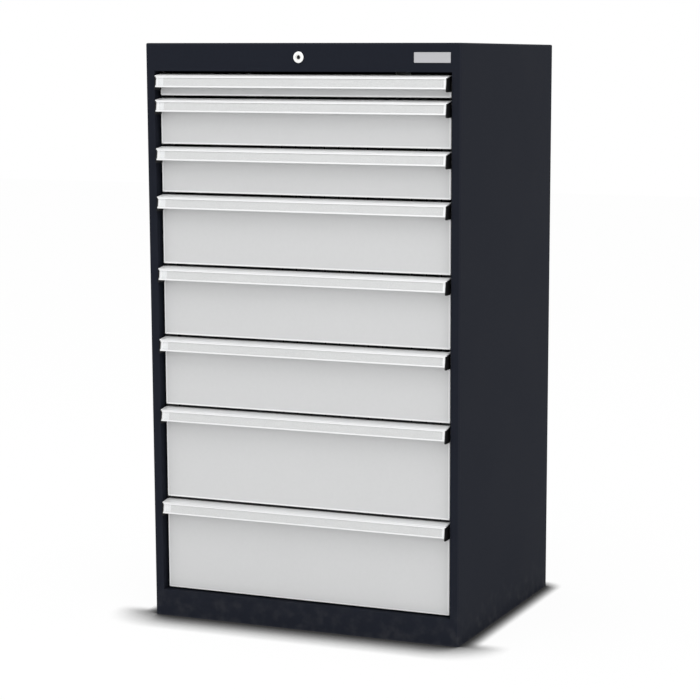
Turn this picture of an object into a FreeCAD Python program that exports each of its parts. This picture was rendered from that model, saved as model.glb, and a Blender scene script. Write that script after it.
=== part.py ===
import FreeCAD, Part
import math
import os

# Industrial drawer cabinet with eight full-extension drawers and one central lock.
# Millimetres. +Z is up and the drawer fronts face -Y. The origin is on the floor,
# at the centre of the body's footprint. Drawer 1 is the top one.

# Body: folded and welded sheet steel
WIDTH = 700.0
DEPTH = 558.0
PLINTH_HEIGHT = 56.5          # floor to the lower edge of the drawer opening
FASCIA_HEIGHT = 57.25         # upper edge of the drawer opening to the top
BODY_SHEET = 1.5
BACK_SHEET = 1.2
INNER_BEND = 1.5              # inside radius of the body's outer folds
EDGE_ROUND = 1.2              # rounding of the folds around the drawer opening
STILE_WIDTH = 19.6
STILE_DEPTH = 25.0
FASCIA_RETURN = 18.0
REAR_RETURN = 22.0
TOP_REAR_LIP = 20.0
FLOOR_LIP = 40.0
SIDE_LIP = 18.0
BOLT_INSET_X = 70.0           # floor-bolt holes, in from the body's sides
BOLT_INSET_Y = 29.0           # and from its front and back
BOLT_HOLE = 11.0

# Drawers
DRAWER_HEIGHTS = (50.0, 100.0, 100.0, 150.0, 150.0, 150.0, 200.0, 200.0)
FRONT_GAP = 3.5
HEAD_GAP = 1.75               # further gap above each front, for its handle
SIDE_GAP = 5.7
FRONT_RECESS = 13.5           # fronts lie this far behind the stiles' face
FRONT_SHEET = 1.0
FRONT_BEND = 1.0              # inside radius of the front's folds
FRONT_DEPTH = 16.0
FRONT_FLANGE = 14.0
TRAY_SHEET = 1.0
TRAY_LIFT = 5.0               # grid line to the tray's underside
TRAY_HEADROOM = 9.0           # tray's rim to the next grid line
TRAY_HEM = 7.0
REAR_SPACE = 44.0             # tray's back to the body's rear face
DIVIDER_PITCH = 36.0
DIVIDER_SLOT = 2.4
DIVIDER_MARGIN = 9.0          # from the tray's floor and rim to a slot's ends

# Handles: extruded aluminium with a label channel, and moulded end caps
HANDLE_REACH = 22.7           # front to the upper corner of the handle's face
HANDLE_DROP = 3.65            # fall of the handle's top over that reach
HANDLE_FACE = 24.3
HANDLE_LEAN = 8.5             # degrees, the face's foot leans outwards
HANDLE_WALL = 2.0
HANDLE_FACE_WALL = 2.8
HANDLE_BACK_LEG = 15.0
HANDLE_LIP = 6.0
HANDLE_ROUND = 0.8            # upper edge of the face
HANDLE_FOOT_ROUND = 0.6       # lower edge of the face
CHANNEL_DEPTH = 1.6
CHANNEL_LIP = 0.7             # thickness of the two lips that hold the label
CHANNEL_HEAD = 2.8            # from the face's upper edge to the channel
CHANNEL_MARGIN = 1.6          # from the face's lower edge to the channel
CHANNEL_COVER = 1.8           # how far each lip covers the channel
GROOVE_START = 1.0            # drip groove under the face's upper edge
GROOVE_WIDTH = 1.0
GROOVE_DEPTH = 1.2
CAP_THICKNESS = 2.2
CAP_DROP = 5.8                # cap's lower edge below the foot of the handle's face
CAP_ROUND = 3.0               # lower corners of the cap
CAP_PEG = 5.0
CAP_FIT = 0.2

# Runners: fixed outer rail, rolling mid rail, inner rail on the tray
RAIL_SHEET = 1.2
RAIL_HEIGHT = 30.0
RAIL_LIFT = 2.0               # tray's underside to the rail's lower edge
RAIL_START = 2.5              # fronts' rear edge to the rail's front end
RAIL_CLEARANCE = 0.3
MID_BAR = 2.0
ROLLER_WIDTH = 4.0
ROLLER_BORE = 7.0
ROLLER_FIT = 0.05
ROLLER_END = 20.0             # end of the mid rail to the first roller
ROLLER_SPAN = 190.0           # first roller to the second one on the same face
UPRIGHT_WIDTH = 35.0
UPRIGHT_INSET = 14.0          # end of the rail to the upright
SLOT_PITCH = 50.0
HOOK_LENGTH = 5.0
HOOK_HEIGHT = 9.0
HOOK_THICKNESS = 2.0
HOOK_CLEARANCE = 0.4

# Central lock: key plug, shaft to the back, crank and rising lock bar
LOCK_FLANGE = 23.0
LOCK_FLANGE_HEIGHT = 3.0
LOCK_BARREL = 18.0
LOCK_BARREL_LENGTH = 28.0
LOCK_NUT = 24.0               # across flats
LOCK_NUT_HEIGHT = 5.0
LOCK_FIT = 0.05
LOCK_PLUG = 12.5
PLUG_RECESS = 1.2
KEYWAY_WIDTH = 2.6
KEYWAY_HEIGHT = 8.6
KEYWAY_DEPTH = 14.0
SHAFT = 8.0
CRANK_RADIUS = 10.0
CRANK_THROW = 45.0            # degrees below the level at rest, and above it when locked
CRANK_PIN = 5.0
CRANK_PLATE = 3.0
PIN_CLEARANCE = 0.6
BAR_WIDTH = 36.0
BAR_THICKNESS = 3.0
BAR_STANDOFF = 3.0            # back panel to the bar
BAR_HEAD = 12.0               # bar above the crank pin
FINGER_WIDTH = 20.0
FINGER_THICKNESS = 3.0
CATCH_THICKNESS = 2.5
CATCH_ROOM = 11.0             # tray's back to the finger
CATCH_LEVEL = 32.5            # tray's underside to the catch's tongue
CATCH_CLEARANCE = 3.0
FINGER_CLEARANCE = 1.4
GUIDE_DRAWER = 100.0          # drawers at least this high have a bar guide behind them
GUIDE_DROP = 25.0             # guide's centre below the drawer's upper grid line
GUIDE_HEIGHT = 20.0
GUIDE_WALL = 4.0
GUIDE_CLEARANCE = 0.3
HANGER_PLACES = (-160.0, 180.0)
HANGER_WIDTH = 30.0
HANGER_SHEET = 2.0
HANGER_FOOT = 16.0
HANGER_EDGE = 8.0             # hanger's plate below the shaft
HANGER_FIT = 0.1

OVERCUT = 1.0                 # how far a cutting tool runs past a face

# Worked out from the sizes above
OPENING_HEIGHT = sum(DRAWER_HEIGHTS) + FRONT_GAP
OPENING_TOP = PLINTH_HEIGHT + OPENING_HEIGHT
HEIGHT = OPENING_TOP + FASCIA_HEIGHT
HALF_WIDTH = WIDTH / 2
HALF_DEPTH = DEPTH / 2
HALF_OPENING = HALF_WIDTH - STILE_WIDTH
OUTER_BEND = BODY_SHEET + INNER_BEND
BACK_FACE = HALF_DEPTH - BODY_SHEET - BACK_SHEET      # inner face of the back panel
FRONT_FACE = -HALF_DEPTH + FRONT_RECESS
FRONT_REAR = FRONT_FACE + FRONT_DEPTH
HALF_FRONT = HALF_OPENING - SIDE_GAP
TRAY_BACK = HALF_DEPTH - REAR_SPACE
RAIL_FRONT = FRONT_REAR + RAIL_START
RAIL_BACK = TRAY_BACK
RUNNER_STACK = 2 * (RAIL_SHEET + RAIL_CLEARANCE + ROLLER_WIDTH) + MID_BAR
HALF_TRAY = HALF_OPENING - RUNNER_STACK
LOCK_LEVEL = HEIGHT - FASCIA_HEIGHT / 2
LOCK_TRAVEL = 2 * CRANK_RADIUS * math.sin(math.radians(CRANK_THROW))
BAR_FRONT = BACK_FACE - BAR_STANDOFF - BAR_THICKNESS
CATCH_DROP = LOCK_TRAVEL - CATCH_CLEARANCE + FINGER_CLEARANCE


def box(x0, x1, y0, y1, z0, z1):
    """A box between two corners."""
    return Part.makeBox(x1 - x0, y1 - y0, z1 - z0, FreeCAD.Vector(x0, y0, z0))


def rod(radius, y0, y1, x=0.0, z=0.0):
    """A round bar along Y."""
    return Part.makeCylinder(radius, y1 - y0, FreeCAD.Vector(x, y0, z), FreeCAD.Vector(0, 1, 0))


def disc(radius, x0, x1, y, z):
    """A round plate facing X."""
    return Part.makeCylinder(radius, x1 - x0, FreeCAD.Vector(x0, y, z), FreeCAD.Vector(1, 0, 0))


def join(shapes):
    """The shapes as one solid."""
    return shapes[0].multiFuse(shapes[1:]).removeSplitter()


def cut(shape, tools):
    """The shape without the tools."""
    return shape.cut(Part.makeCompound(tools))


def round_edges(shape, radius, wanted):
    """Rounds the straight edges whose middle point passes the test."""
    edges = [edge for edge in shape.Edges if wanted(edge.CenterOfMass)]
    return shape.makeFillet(radius, edges)


def near(value, target):
    """True where two places are the same."""
    return abs(value - target) < 1e-6


def mirrored(shape):
    """The same piece on the other side of the cabinet."""
    return shape.mirror(FreeCAD.Vector(0, 0, 0), FreeCAD.Vector(1, 0, 0))


def both_sides(shape):
    """A piece of the right side and its mirror image."""
    return [shape, mirrored(shape)]


def save(node, shapes):
    """Writes the solids of one node."""
    solids = [solid for shape in shapes for solid in shape.Solids]
    whole = solids[0] if len(solids) == 1 else Part.makeCompound(solids)
    whole.exportStep("parts/" + node + ".step")


def drawer_levels():
    """The grid line under each drawer, drawer 1 first."""
    level = OPENING_TOP - FRONT_GAP / 2
    levels = []
    for height in DRAWER_HEIGHTS:
        level -= height
        levels.append(level)
    return levels


def runner_level(level):
    """Centre height of the runner of the drawer above a grid line."""
    return level + TRAY_LIFT + RAIL_LIFT + RAIL_HEIGHT / 2


# ---------------------------------------------------------------- body


def envelope(inset, bottom):
    """The body's outside moved in by inset, with its folds rounded."""
    x = HALF_WIDTH - inset
    y = HALF_DEPTH - inset
    solid = box(-x, x, -y, y, bottom, HEIGHT - inset)
    return round_edges(solid, OUTER_BEND - inset, lambda m: m.z > bottom + OVERCUT)


def body_skin():
    """The whole outer skin of the body, open at the bottom."""
    return envelope(0, 0).cut(envelope(BODY_SHEET, -BODY_SHEET))


def folded_strip(x0, x1, z0, z1, depth, rounded):
    """A strip running back from the body's front face, with one front edge rounded."""
    strip = box(x0, x1, -HALF_DEPTH, -HALF_DEPTH + depth, z0, z1)
    return round_edges(strip, EDGE_ROUND, lambda m: near(m.y, -HALF_DEPTH) and rounded(m))


def side_panel(skin):
    """Right side: outer skin, front stile with its return, rear return and floor lip."""
    seam = HEIGHT - OUTER_BEND
    front = box(HALF_OPENING, HALF_WIDTH, -HALF_DEPTH, 0, 0, seam)
    rear = box(HALF_WIDTH - REAR_RETURN, HALF_WIDTH, 0, HALF_DEPTH, 0, seam)
    sheet = skin.common(front.fuse(rear))
    corner = HALF_OPENING + BODY_SHEET
    notch = box(HALF_OPENING, corner, -HALF_DEPTH, 0, PLINTH_HEIGHT, OPENING_TOP)
    stile_return = folded_strip(
        HALF_OPENING, corner, PLINTH_HEIGHT, OPENING_TOP, STILE_DEPTH,
        lambda m: near(m.x, HALF_OPENING))
    lip = box(HALF_WIDTH - SIDE_LIP, HALF_WIDTH - BODY_SHEET,
              -HALF_DEPTH + FLOOR_LIP, HALF_DEPTH - FLOOR_LIP, 0, BODY_SHEET)
    return join([sheet.cut(notch), stile_return, lip])


def top_panel(skin):
    """Top skin with its rounded rim, the fascia with its return, and a rear lip."""
    seam = HEIGHT - OUTER_BEND
    rim = skin.common(box(-HALF_WIDTH, HALF_WIDTH, -HALF_DEPTH, HALF_DEPTH, seam, HEIGHT))
    fascia = box(-HALF_OPENING, HALF_OPENING, -HALF_DEPTH, -HALF_DEPTH + BODY_SHEET,
                 OPENING_TOP + BODY_SHEET, seam)
    fascia_return = folded_strip(
        -HALF_OPENING, HALF_OPENING, OPENING_TOP, OPENING_TOP + BODY_SHEET, FASCIA_RETURN,
        lambda m: near(m.z, OPENING_TOP))
    x = HALF_WIDTH - REAR_RETURN
    rear_lip = box(-x, x, HALF_DEPTH - BODY_SHEET, HALF_DEPTH, seam - TOP_REAR_LIP, seam)
    hole = rod(LOCK_BARREL / 2 + HANGER_FIT, -HALF_DEPTH - OVERCUT,
               -HALF_DEPTH + BODY_SHEET + OVERCUT, z=LOCK_LEVEL)
    return cut(join([rim, fascia, fascia_return, rear_lip]), [hole])


def back_panel():
    """Flat sheet behind the drawers, inside the rear returns."""
    x = HALF_WIDTH - OUTER_BEND
    return box(-x, x, BACK_FACE, BACK_FACE + BACK_SHEET, 0, HEIGHT - OUTER_BEND)


def base_panel():
    """Deck under the drawers, folded down to the floor at the front and the back."""
    deck = box(-HALF_WIDTH, HALF_WIDTH, -HALF_DEPTH + BODY_SHEET, BACK_FACE,
               PLINTH_HEIGHT - BODY_SHEET, PLINTH_HEIGHT)
    deck = deck.common(envelope(BODY_SHEET, 0))
    edge = folded_strip(
        -HALF_OPENING, HALF_OPENING, PLINTH_HEIGHT - BODY_SHEET, PLINTH_HEIGHT, STILE_DEPTH,
        lambda m: near(m.z, PLINTH_HEIGHT))
    front = box(-HALF_OPENING, HALF_OPENING, -HALF_DEPTH, -HALF_DEPTH + BODY_SHEET,
                0, PLINTH_HEIGHT - BODY_SHEET)
    front_lip = box(-HALF_OPENING, HALF_OPENING, -HALF_DEPTH, -HALF_DEPTH + FLOOR_LIP,
                    0, BODY_SHEET)
    rear = box(-HALF_OPENING, HALF_OPENING, BACK_FACE - BODY_SHEET, BACK_FACE,
               0, PLINTH_HEIGHT - BODY_SHEET)
    rear_lip = box(-HALF_OPENING, HALF_OPENING, HALF_DEPTH - FLOOR_LIP, BACK_FACE,
                   0, BODY_SHEET)
    x = HALF_WIDTH - BOLT_INSET_X
    y = HALF_DEPTH - BOLT_INSET_Y
    holes = [
        Part.makeCylinder(BOLT_HOLE / 2, 3 * BODY_SHEET,
                          FreeCAD.Vector(sx * x, sy * y, -BODY_SHEET))
        for sx in (-1, 1) for sy in (-1, 1)]
    return cut(join([deck, edge, front, front_lip, rear, rear_lip]), holes)


def slot_levels():
    """Heights of the uprights' slots: one at each runner, the rest a pitch apart."""
    starts = sorted(runner_level(level) for level in drawer_levels())
    ends = starts[1:] + [HEIGHT - BODY_SHEET - SLOT_PITCH / 2]
    levels = []
    for start, end in zip(starts, ends):
        count = max(1, round((end - start) / SLOT_PITCH))
        levels += [start + n * SLOT_PITCH for n in range(count)]
    return levels


def upright_places():
    """Front edge of the front and of the rear upright."""
    return (RAIL_FRONT + UPRIGHT_INSET, RAIL_BACK - UPRIGHT_INSET - UPRIGHT_WIDTH)


def slotted_upright(y0):
    """Channel between deck and top on the right side, with a row of slots for the rails."""
    y1 = y0 + UPRIGHT_WIDTH
    ceiling = HEIGHT - BODY_SHEET
    wall = HALF_WIDTH - BODY_SHEET
    channel = box(HALF_OPENING, wall, y0, y1, PLINTH_HEIGHT, ceiling)
    channel = channel.common(envelope(BODY_SHEET, 0))
    hollow = box(HALF_OPENING + BODY_SHEET, wall, y0 + BODY_SHEET, y1 - BODY_SHEET,
                 PLINTH_HEIGHT, ceiling)
    middle = (y0 + y1) / 2
    half_y = HOOK_THICKNESS / 2 + HOOK_CLEARANCE
    half_z = HOOK_HEIGHT / 2 + HOOK_CLEARANCE
    slots = [
        box(HALF_OPENING, HALF_OPENING + BODY_SHEET,
            middle - half_y, middle + half_y, level - half_z, level + half_z)
        for level in slot_levels()]
    return cut(channel, [hollow] + slots)


# ---------------------------------------------------------------- runners


def channel_rail(web, flange, y0, y1, level):
    """A C-shaped rail: web and flange are the x places of its web and its flange tips."""
    low = level - RAIL_HEIGHT / 2
    high = level + RAIL_HEIGHT / 2
    block = box(min(web, flange), max(web, flange), y0, y1, low, high)
    inner_web = web + math.copysign(RAIL_SHEET, flange - web)
    hollow = box(min(inner_web, flange), max(inner_web, flange), y0, y1,
                 low + RAIL_SHEET, high - RAIL_SHEET)
    return block.cut(hollow)


def mid_bar_face():
    """The x place of the mid rail's outer face."""
    return HALF_OPENING - RAIL_SHEET - RAIL_CLEARANCE - ROLLER_WIDTH


def outer_rail(level):
    """Fixed rail of the right side, hooked into both uprights."""
    rail = channel_rail(HALF_OPENING, mid_bar_face() + RAIL_CLEARANCE,
                        RAIL_FRONT, RAIL_BACK, level)
    hooks = []
    for place in upright_places():
        middle = place + UPRIGHT_WIDTH / 2
        hooks.append(box(HALF_OPENING, HALF_OPENING + HOOK_LENGTH,
                         middle - HOOK_THICKNESS / 2, middle + HOOK_THICKNESS / 2,
                         level - HOOK_HEIGHT / 2, level + HOOK_HEIGHT / 2))
    return join([rail] + hooks)


def inner_rail(level):
    """Rail of the right side that rides on the tray."""
    tips = mid_bar_face() - MID_BAR - RAIL_CLEARANCE
    return channel_rail(HALF_TRAY, tips, RAIL_FRONT, RAIL_BACK, level)


def mid_rail(level):
    """Bar of the right side with its axle stubs, and its four rollers."""
    outer_face = mid_bar_face()
    inner_face = outer_face - MID_BAR
    bar = box(inner_face, outer_face, RAIL_FRONT, RAIL_BACK,
              level - RAIL_HEIGHT / 2, level + RAIL_HEIGHT / 2)
    radius = RAIL_HEIGHT / 2 - RAIL_SHEET - RAIL_CLEARANCE
    rear = RAIL_BACK - ROLLER_END
    front = RAIL_FRONT + ROLLER_END
    seats = [(outer_face, outer_face + ROLLER_WIDTH, rear),
             (outer_face, outer_face + ROLLER_WIDTH, rear - ROLLER_SPAN),
             (inner_face - ROLLER_WIDTH, inner_face, front),
             (inner_face - ROLLER_WIDTH, inner_face, front + ROLLER_SPAN)]
    stubs = [disc(ROLLER_BORE / 2, x0, x1, y, level) for x0, x1, y in seats]
    rollers = [
        disc(radius, x0, x1, y, level).cut(disc(ROLLER_BORE / 2 + ROLLER_FIT, x0, x1, y, level))
        for x0, x1, y in seats]
    return [join([bar] + stubs)] + rollers


# ---------------------------------------------------------------- drawers


def front_top(level, height):
    """Height of a front's top edge, where its handle starts."""
    return level + height - FRONT_GAP / 2 - HEAD_GAP


def front_solid(inset, low, high):
    """The drawer front's outside moved in by inset, with its front folds rounded."""
    x = HALF_FRONT - inset
    solid = box(-x, x, FRONT_FACE + inset, FRONT_REAR, low + inset, high - inset)
    radius = FRONT_SHEET + FRONT_BEND - inset
    return round_edges(solid, radius, lambda m: m.y < FRONT_REAR - radius / 2)


def drawer_front(level, height):
    """Shallow pan with a flange behind, which the tray is fixed to."""
    low = level + FRONT_GAP / 2
    high = front_top(level, height)
    pan = front_solid(0, low, high).cut(front_solid(FRONT_SHEET, low, high))
    edge = FRONT_SHEET + FRONT_FLANGE
    ring = box(-HALF_FRONT, HALF_FRONT, FRONT_REAR - FRONT_SHEET, FRONT_REAR, low, high)
    ring = ring.common(front_solid(0, low, high))
    window = box(-HALF_FRONT + edge, HALF_FRONT - edge, FRONT_FACE, FRONT_REAR,
                 low + edge, high - edge)
    return join([pan, ring.cut(window)])


def divider_slots(low, high):
    """Upright slots through all four tray walls for sheet dividers."""
    z0 = low + TRAY_SHEET + DIVIDER_MARGIN
    z1 = high - DIVIDER_MARGIN
    half = DIVIDER_SLOT / 2
    depth = TRAY_BACK - FRONT_REAR
    along_y = int((depth / 2 - DIVIDER_PITCH / 2) / DIVIDER_PITCH)
    along_x = int((HALF_TRAY - DIVIDER_PITCH / 2) / DIVIDER_PITCH)
    middle = (TRAY_BACK + FRONT_REAR) / 2
    slots = []
    for n in range(-along_y, along_y + 1):
        y = middle + n * DIVIDER_PITCH
        slots.append(box(-HALF_TRAY, -HALF_TRAY + TRAY_SHEET, y - half, y + half, z0, z1))
        slots.append(box(HALF_TRAY - TRAY_SHEET, HALF_TRAY, y - half, y + half, z0, z1))
    for n in range(-along_x, along_x + 1):
        x = n * DIVIDER_PITCH
        if abs(x) > FINGER_WIDTH:
            slots.append(box(x - half, x + half, TRAY_BACK - TRAY_SHEET, TRAY_BACK, z0, z1))
        slots.append(box(x - half, x + half, FRONT_REAR, FRONT_REAR + TRAY_SHEET, z0, z1))
    return slots


def catch_level(level):
    """Height of the lower end of a drawer's lock catch."""
    return level + TRAY_LIFT + CATCH_LEVEL - CATCH_DROP


def catch_face():
    """The y place of the catch's face towards the tray."""
    return TRAY_BACK + CATCH_ROOM + FINGER_THICKNESS + CATCH_CLEARANCE


def lock_catch(level):
    """Tongue welded to the tray's back, and the plate under it that the finger holds."""
    x = FINGER_WIDTH / 2
    bottom = catch_level(level)
    under = bottom + CATCH_DROP
    rear = catch_face() + CATCH_THICKNESS
    tongue = box(-x, x, TRAY_BACK, rear, under, under + CATCH_THICKNESS)
    drop = box(-x, x, catch_face(), rear, bottom, under)
    return [tongue, drop]


def tray(level, height):
    """Open folded tray with hemmed rims and divider slots, and its lock catch."""
    low = level + TRAY_LIFT
    high = level + height - TRAY_HEADROOM
    x = HALF_TRAY - TRAY_SHEET
    block = box(-HALF_TRAY, HALF_TRAY, FRONT_REAR, TRAY_BACK, low, high)
    inside = box(-x, x, FRONT_REAR + TRAY_SHEET, TRAY_BACK - TRAY_SHEET, low + TRAY_SHEET, high)
    hem_outer = box(-x, x, FRONT_REAR + TRAY_SHEET, TRAY_BACK - TRAY_SHEET,
                    high - TRAY_HEM, high)
    hem_inner = box(-x + TRAY_SHEET, x - TRAY_SHEET,
                    FRONT_REAR + 2 * TRAY_SHEET, TRAY_BACK - 2 * TRAY_SHEET,
                    high - TRAY_HEM, high)
    walls = cut(block.cut(inside), divider_slots(low, high))
    return [join([walls, hem_outer.cut(hem_inner)])] + lock_catch(level)


# ---------------------------------------------------------------- handles


def face_point(along, inward):
    """A point of the handle's face: distance down the face, and in from its surface."""
    lean = math.radians(HANDLE_LEAN)
    reach = HANDLE_REACH + along * math.sin(lean) - inward * math.cos(lean)
    drop = -HANDLE_DROP - along * math.cos(lean) - inward * math.sin(lean)
    return (reach, drop)


def sheet_outline(points, top):
    """A face in the YZ plane from points of reach and height under the front's top edge."""
    corners = [FreeCAD.Vector(0, FRONT_FACE - reach, top + drop) for reach, drop in points]
    return Part.Face(Part.makePolygon(corners + corners[:1]))


def under_top(reach):
    """Height of the underside of the handle's top at a reach."""
    slope = HANDLE_DROP / HANDLE_REACH
    return -slope * reach - HANDLE_WALL * math.hypot(1, slope)


def under_top_on_face(inward):
    """Where the underside of the handle's top meets the plane that far inside its face."""
    lean = math.radians(HANDLE_LEAN)
    reach, drop = face_point(0, inward)
    slope = HANDLE_DROP / HANDLE_REACH
    along = (drop - under_top(reach)) / (math.cos(lean) - slope * math.sin(lean))
    return face_point(along, inward)


def handle_points():
    """Outline of the handle's section, from the front's top edge round to its back leg."""
    lean = math.radians(HANDLE_LEAN)
    reach, foot = face_point(HANDLE_FACE, 0)
    shelf = (HANDLE_WALL + HANDLE_FACE_WALL * math.sin(lean)) / math.cos(lean)
    return [
        (0, 0),
        face_point(0, 0),
        (reach, foot),
        (reach - HANDLE_LIP, foot),
        (reach - HANDLE_LIP, foot + HANDLE_WALL),
        face_point(HANDLE_FACE - shelf, HANDLE_FACE_WALL),
        under_top_on_face(HANDLE_FACE_WALL),
        (HANDLE_WALL, under_top(HANDLE_WALL)),
        (HANDLE_WALL, -HANDLE_BACK_LEG),
        (0, -HANDLE_BACK_LEG)]


def round_along(solid, top, corner, radius):
    """Rounds the edges along X that run through a corner of the handle's section."""
    reach, drop = corner
    return round_edges(solid, radius,
                       lambda m: near(m.y, FRONT_FACE - reach) and near(m.z, top + drop))


def prism(points, top, x0, x1):
    """A solid between two x places from points of reach and height."""
    length = FreeCAD.Vector(x1 - x0, 0, 0)
    return sheet_outline(points, top).extrude(length).translated(FreeCAD.Vector(x0, 0, 0))


def channel_cut(top, half_length, start, end, shallow, deep):
    """A groove along the handle's face between two depths."""
    points = [face_point(start, shallow), face_point(end, shallow),
              face_point(end, deep), face_point(start, deep)]
    return prism(points, top, -half_length, half_length)


def handle(top):
    """Full-width grip with a label channel in its face; its top runs on over the caps."""
    half = HALF_FRONT - CAP_THICKNESS
    roof = [(0, 0), face_point(0, 0), under_top_on_face(0), (0, under_top(0))]
    bar = join([prism(handle_points(), top, -half, half),
                prism(roof, top, -HALF_FRONT, HALF_FRONT)])
    bar = round_along(bar, top, face_point(0, 0), HANDLE_ROUND)
    bar = round_along(bar, top, face_point(HANDLE_FACE, 0), HANDLE_FOOT_ROUND)
    drip = channel_cut(top, half, GROOVE_START, GROOVE_START + GROOVE_WIDTH,
                       -OVERCUT, GROOVE_DEPTH)
    start = CHANNEL_HEAD
    end = HANDLE_FACE - CHANNEL_MARGIN
    mouth = channel_cut(top, half, start + CHANNEL_COVER, end - CHANNEL_COVER,
                        -OVERCUT, CHANNEL_LIP)
    groove = channel_cut(top, half, start, end, CHANNEL_LIP, CHANNEL_DEPTH)
    return cut(bar, [drip, mouth, groove])


def handle_cap(top):
    """End plate of the right side under the handle's top, with a peg inside it."""
    half = HALF_FRONT - CAP_THICKNESS
    foot = face_point(HANDLE_FACE + CAP_DROP, 0)
    heel = (0, foot[1])
    points = [(0, under_top(0)), under_top_on_face(0), foot, heel]
    plate = prism(points, top, half, HALF_FRONT)
    plate = round_along(plate, top, foot, CAP_ROUND)
    plate = round_along(plate, top, heel, CAP_ROUND)
    start = HANDLE_WALL + CAP_FIT
    end = start + CAP_PEG
    roof = under_top(end) - CAP_FIT
    peg = box(half - CAP_PEG, half, FRONT_FACE - end, FRONT_FACE - start,
              top + roof - CAP_PEG, top + roof)
    return join([plate, peg])


# ---------------------------------------------------------------- lock


def lock_housing():
    """Flanged barrel in the fascia, and the nut that clamps it."""
    face = -HALF_DEPTH
    flange = rod(LOCK_FLANGE / 2, face - LOCK_FLANGE_HEIGHT, face, z=LOCK_LEVEL)
    rim = face - LOCK_FLANGE_HEIGHT
    flange = round_edges(flange, LOCK_FLANGE_HEIGHT / 3, lambda m: near(m.y, rim))
    barrel = rod(LOCK_BARREL / 2, face, face + LOCK_BARREL_LENGTH, z=LOCK_LEVEL)
    bore = rod(LOCK_PLUG / 2 + LOCK_FIT, rim, face + LOCK_BARREL_LENGTH, z=LOCK_LEVEL)
    seat = face + BODY_SHEET
    corner = LOCK_NUT / 2 / math.cos(math.radians(30))
    corners = [
        FreeCAD.Vector(corner * math.cos(math.radians(60 * n)), seat,
                       LOCK_LEVEL + corner * math.sin(math.radians(60 * n)))
        for n in range(7)]
    nut = Part.Face(Part.makePolygon(corners)).extrude(FreeCAD.Vector(0, LOCK_NUT_HEIGHT, 0))
    thread = rod(LOCK_BARREL / 2 + LOCK_FIT, seat, seat + LOCK_NUT_HEIGHT, z=LOCK_LEVEL)
    return [cut(join([flange, barrel]), [bore]), cut(nut, [thread])]


def plug_back():
    """The y place of the plug's rear end."""
    return -HALF_DEPTH + LOCK_BARREL_LENGTH + CRANK_PLATE


def lock_plug():
    """Key plug with its keyway."""
    front = -HALF_DEPTH - LOCK_FLANGE_HEIGHT + PLUG_RECESS
    core = rod(LOCK_PLUG / 2, front, plug_back(), z=LOCK_LEVEL)
    keyway = box(-KEYWAY_WIDTH / 2, KEYWAY_WIDTH / 2, front, front + KEYWAY_DEPTH,
                 LOCK_LEVEL - KEYWAY_HEIGHT / 2, LOCK_LEVEL + KEYWAY_HEIGHT / 2)
    return core.cut(keyway)


def crank_pin_place():
    """The x and z places of the crank pin with the lock open."""
    throw = math.radians(CRANK_THROW)
    return (-CRANK_RADIUS * math.cos(throw), LOCK_LEVEL - CRANK_RADIUS * math.sin(throw))


def lock_shaft():
    """Shaft from the plug to the back, with the crank that lifts the bar."""
    face = BAR_FRONT - PIN_CLEARANCE
    shaft = rod(SHAFT / 2, plug_back(), face, z=LOCK_LEVEL)
    crank = rod(CRANK_RADIUS + CRANK_PIN / 2 + HANGER_SHEET, face - CRANK_PLATE, face,
                z=LOCK_LEVEL)
    x, z = crank_pin_place()
    pin = rod(CRANK_PIN / 2, face, BAR_FRONT + BAR_THICKNESS, x=x, z=z)
    return join([shaft, crank, pin])


def lock_bar():
    """Upright bar behind the drawers, with an arm and a finger welded on for each catch."""
    levels = [catch_level(level) - CATCH_CLEARANCE for level in drawer_levels()]
    bottom = min(levels) - CATCH_DROP - FINGER_THICKNESS
    pin_z = crank_pin_place()[1]
    bar = box(-BAR_WIDTH / 2, BAR_WIDTH / 2, BAR_FRONT, BAR_FRONT + BAR_THICKNESS,
              bottom, pin_z + BAR_HEAD)
    near_x = CRANK_RADIUS * math.cos(math.radians(CRANK_THROW)) - CRANK_PIN / 2 - PIN_CLEARANCE
    far_x = CRANK_RADIUS + CRANK_PIN / 2 + PIN_CLEARANCE
    half_slot = CRANK_PIN / 2 + PIN_CLEARANCE
    slot = box(-far_x, -near_x, BAR_FRONT, BAR_FRONT + BAR_THICKNESS,
               pin_z - half_slot, pin_z + half_slot)
    tip = TRAY_BACK + CATCH_ROOM
    half = FINGER_WIDTH / 2
    pieces = [bar.cut(slot)]
    for tip_level in levels:
        arm_top = tip_level - CATCH_DROP
        pieces.append(box(-half, half, tip, BAR_FRONT, arm_top - FINGER_THICKNESS, arm_top))
        pieces.append(box(-half, half, tip, tip + FINGER_THICKNESS, arm_top, tip_level))
    return pieces


def bar_guide(level):
    """Block on the back panel that the bar slides through."""
    x = BAR_WIDTH / 2 + GUIDE_CLEARANCE
    z0 = level - GUIDE_HEIGHT / 2
    z1 = level + GUIDE_HEIGHT / 2
    block = box(-x - GUIDE_WALL, x + GUIDE_WALL,
                BAR_FRONT - GUIDE_CLEARANCE - GUIDE_WALL, BACK_FACE, z0, z1)
    way = box(-x, x, BAR_FRONT - GUIDE_CLEARANCE,
              BAR_FRONT + BAR_THICKNESS + GUIDE_CLEARANCE, z0, z1)
    return block.cut(way)


def shaft_hanger(y):
    """Bracket under the top that carries the shaft."""
    ceiling = HEIGHT - BODY_SHEET
    half = HANGER_WIDTH / 2
    plate = box(-half, half, y, y + HANGER_SHEET,
                LOCK_LEVEL - SHAFT / 2 - HANGER_EDGE, ceiling)
    foot = box(-half, half, y, y + HANGER_FOOT, ceiling - HANGER_SHEET, ceiling)
    hole = rod(SHAFT / 2 + HANGER_FIT, y, y + HANGER_SHEET, z=LOCK_LEVEL)
    return cut(join([plate, foot]), [hole])


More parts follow.
